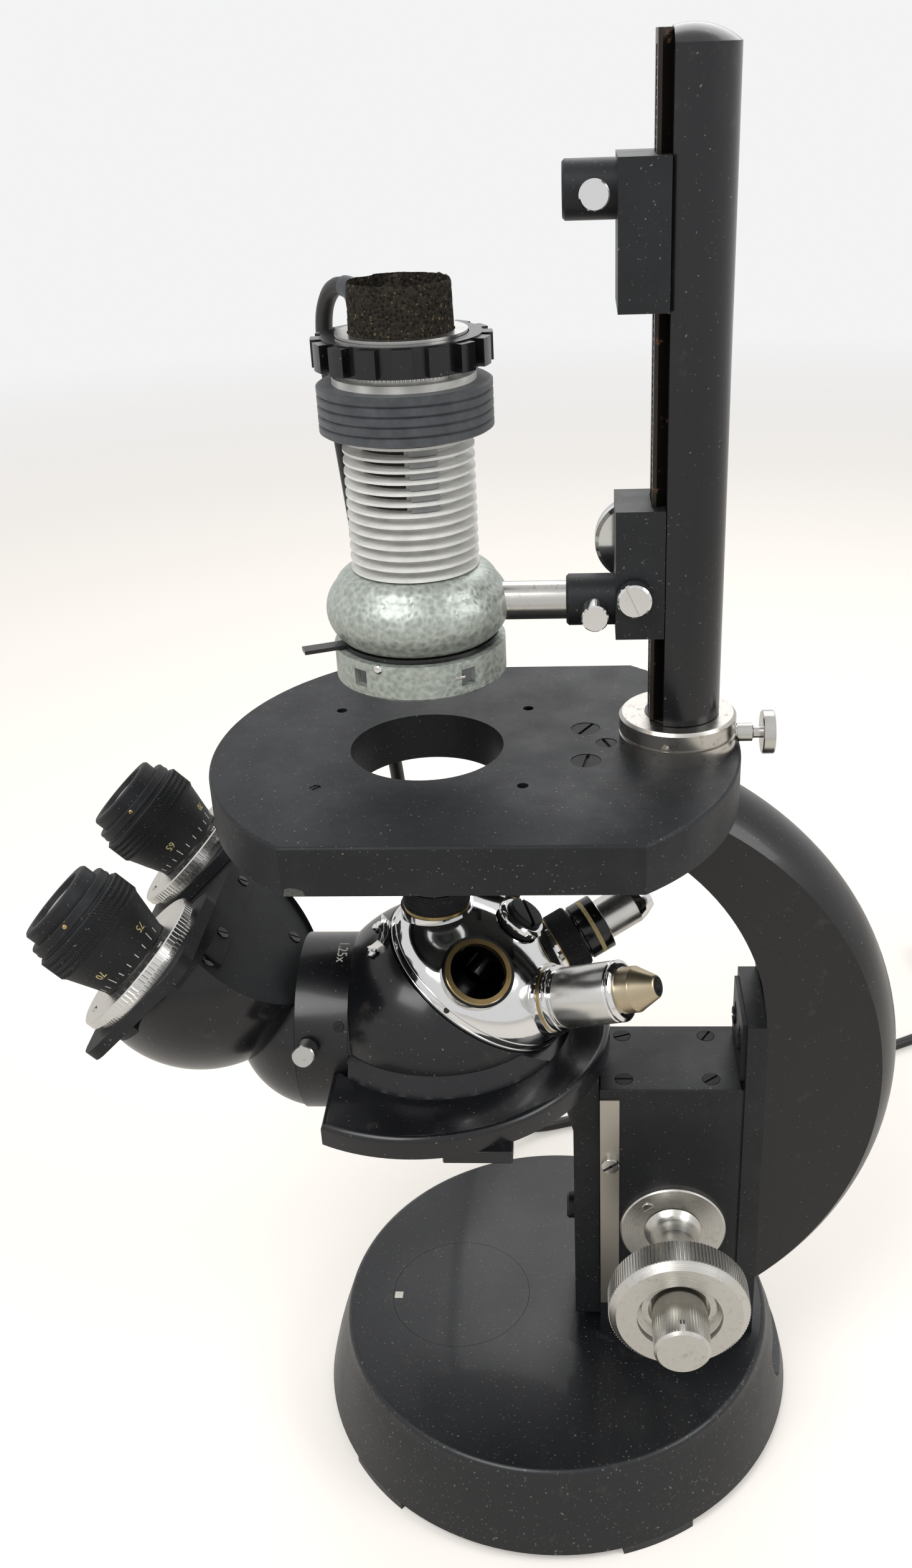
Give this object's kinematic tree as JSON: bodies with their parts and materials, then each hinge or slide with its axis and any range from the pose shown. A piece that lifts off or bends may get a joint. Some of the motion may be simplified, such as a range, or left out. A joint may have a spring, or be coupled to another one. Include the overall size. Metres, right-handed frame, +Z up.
{
  "type": "inverted microscope",
  "caption": "Inverted microscope: round base, curved arm, flat stage, turret and binocular head below, and a finned lamp on a column above.",
  "frame": {"origin": "centre of the round foot, on the table", "axes": "+X from the eyepieces to the column, +Y away from the camera's side, +Z up"},
  "size_m": [0.4662, 0.4181, 0.508],
  "materials": {
    "black_enamel": "stoved black enamel, satin to gloss",
    "black_metal": "black anodised and black lacquered turned metal",
    "chrome": "mirror chrome plating",
    "satin_chrome": "satin chrome and turned bright metal",
    "steel": "ground and turned steel",
    "brass": "turned brass",
    "hammertone": "grey hammertone enamel",
    "white_enamel": "white enamel",
    "grip_rubber": "ribbed moulded rubber",
    "sponge": "coarse black foam rubber",
    "cord_rubber": "black cord sheath",
    "lens_glass": "polished optical glass",
    "plug_plastic": "moulded black plastic"
  },
  "bodies": {
    "stand": {"base": "black_enamel", "base_port_cover": "black_enamel", "focus_block": "black_enamel", "block_cap": "black_enamel", "block_screws": "steel", "guide_gib": "steel", "arm_plate": "black_enamel", "slot_plate": "black_enamel", "arm": "black_enamel", "stage": "black_enamel", "stage_screws": "black_metal", "column_ring": "steel", "knob_flanges": "satin_chrome"},
    "ring_screw": {"ring_screw": "steel"},
    "coarse_knobs": {"pinion_shaft": "steel", "coarse_knobs": "satin_chrome"},
    "fine_knobs": {"fine_knobs": "satin_chrome"},
    "column": {"column": "black_enamel", "rack_rail": "black_metal", "lamp_cord": "cord_rubber", "cord_coil": "cord_rubber", "cord_plug": "plug_plastic"},
    "lower_carrier": {"lower_carrier": "black_metal"},
    "drive_wheel": {"drive_wheel": "satin_chrome"},
    "clamp_screw": {"clamp_screw": "satin_chrome"},
    "lower_socket_screw": {"lower_socket_screw": "satin_chrome"},
    "upper_carrier": {"upper_carrier": "black_metal"},
    "upper_socket_screw": {"upper_socket_screw": "satin_chrome"},
    "lamp": {"lamp_rod": "steel", "lamp_body": "hammertone", "condenser_lens": "lens_glass", "lamp_fins": "white_enamel", "rubber_grip": "grip_rubber", "lamp_socket": "steel", "foam_plug": "sponge", "lamp_bulb": "lens_glass", "cord_gland": "cord_rubber"},
    "diaphragm_lever": {"diaphragm_lever": "black_metal"},
    "centring_nut": {"centring_nut": "plug_plastic"},
    "nose_carrier": {"focus_slide": "black_enamel", "yoke": "black_enamel", "ball_housing": "black_enamel", "tube_ring": "black_metal"},
    "tube_screw": {"tube_screw": "steel"},
    "turret": {"turret_dome": "chrome", "seat_rings": "brass", "pivot_plug": "chrome", "objective_short": "black_metal", "objective_bright": "chrome", "objective_dark": "black_metal", "seat_plug": "black_metal"},
    "head": {"head_shell": "black_enamel", "head_cover": "black_enamel", "slide_base": "black_metal"},
    "near_carriage": {"near_carriage": "black_metal", "near_disc": "satin_chrome"},
    "near_eyepiece": {"near_eyepiece": "black_metal"},
    "far_carriage": {"far_carriage": "black_metal", "far_disc": "satin_chrome"},
    "far_eyepiece": {"far_eyepiece": "black_metal"}
  },
  "joints": [
    {"name": "coarse_turn", "type": "hinge", "parent": "stand", "child": "coarse_knobs", "pos_m": [0.0463, 0, 0.0945], "axis": [0, 1, 0], "range_deg": [-63, 58]},
    {"name": "nose_slide", "type": "slide", "parent": "stand", "child": "nose_carrier", "axis": [0, 0, 1], "range_m": [-0.0065, 0.006]},
    {"name": "fine_turn", "type": "hinge", "parent": "coarse_knobs", "child": "fine_knobs", "pos_m": [0.0463, 0, 0.0945], "axis": [0, 1, 0], "range_deg": [-180, 180]},
    {"name": "turret_turn", "type": "hinge", "parent": "nose_carrier", "child": "turret", "pos_m": [-0.0395, 0, 0.1803], "axis": [0.5892, 0, 0.808], "continuous": true},
    {"name": "tube_screw_turn", "type": "hinge", "parent": "nose_carrier", "child": "tube_screw", "pos_m": [-0.085, 0, 0.1779], "axis": [0, -0.9511, 0.309], "range_deg": [0, 360]},
    {"name": "head_turn", "type": "hinge", "parent": "nose_carrier", "child": "head", "pos_m": [-0.09, 0, 0.1779], "axis": [1, 0, 0], "range_deg": [-30, 30]},
    {"name": "near_eye_slide", "type": "slide", "parent": "head", "child": "near_carriage", "axis": [0, 1, 0], "range_m": [-0.001, 0.0095]},
    {"name": "far_eye_slide", "type": "slide", "parent": "head", "child": "far_carriage", "axis": [0, 1, 0], "range_m": [-0.0095, 0.001]},
    {"name": "near_eye_focus", "type": "hinge", "parent": "near_carriage", "child": "near_eyepiece", "pos_m": [-0.13923, -0.0395, 0.2313], "axis": [-0.7071, 0, 0.7071], "range_deg": [-60, 60]},
    {"name": "far_eye_focus", "type": "hinge", "parent": "far_carriage", "child": "far_eyepiece", "pos_m": [-0.13923, 0.0395, 0.2313], "axis": [-0.7071, 0, 0.7071], "range_deg": [-60, 60]},
    {"name": "column_turn", "type": "hinge", "parent": "stand", "child": "column", "pos_m": [0.0452, 0, 0.2913], "axis": [0, 0, 1], "range_deg": [-90, 90], "deforming": ["lamp_cord"]},
    {"name": "ring_screw_turn", "type": "hinge", "parent": "stand", "child": "ring_screw", "pos_m": [0.0452, 0, 0.2952], "axis": [1, 0, 0], "range_deg": [0, 360]},
    {"name": "wheel_turn", "type": "hinge", "parent": "lower_carrier", "child": "drive_wheel", "pos_m": [0.03166, 0.014, 0.3575], "axis": [0, 1, 0], "range_deg": [-300, 480]},
    {"name": "lower_carrier_slide", "type": "slide", "parent": "column", "child": "lower_carrier", "axis": [0, 0, 1], "range_m": [-0.025, 0.04], "deforming": ["lamp_cord"]},
    {"name": "clamp_screw_turn", "type": "hinge", "parent": "lower_carrier", "child": "clamp_screw", "pos_m": [0.0299, -0.013, 0.3488], "axis": [0, -1, 0], "range_deg": [0, 360]},
    {"name": "lower_socket_screw_turn", "type": "hinge", "parent": "lower_carrier", "child": "lower_socket_screw", "pos_m": [0.01765, -0.0083, 0.3432], "axis": [0, -1, 0], "range_deg": [0, 360]},
    {"name": "lamp_rod_slide", "type": "slide", "parent": "lower_carrier", "child": "lamp", "axis": [1, 0, 0], "range_m": [-0.008, 0], "deforming": ["lamp_cord"]},
    {"name": "lever_turn", "type": "hinge", "parent": "lamp", "child": "diaphragm_lever", "pos_m": [-0.0395, 0, 0.3322], "axis": [0, 0, 1], "range_deg": [-60, 20]},
    {"name": "nut_turn", "type": "hinge", "parent": "lamp", "child": "centring_nut", "pos_m": [-0.0395, 0, 0.4235], "axis": [0, 0, 1], "continuous": true},
    {"name": "upper_carrier_slide", "type": "slide", "parent": "column", "child": "upper_carrier", "axis": [0, 0, 1], "range_m": [-0.015, 0.028]},
    {"name": "upper_socket_screw_turn", "type": "hinge", "parent": "upper_carrier", "child": "upper_socket_screw", "pos_m": [0.01805, -0.0083, 0.4664], "axis": [0, -1, 0], "range_deg": [0, 360]}
  ],
  "couplings": [
    {"joint": "coarse_turn", "follows": "nose_slide", "rad_per_m": 166.67},
    {"joint": "far_eye_slide", "follows": "near_eye_slide", "ratio": -1},
    {"joint": "wheel_turn", "follows": "lower_carrier_slide", "rad_per_m": 208.33}
  ]
}
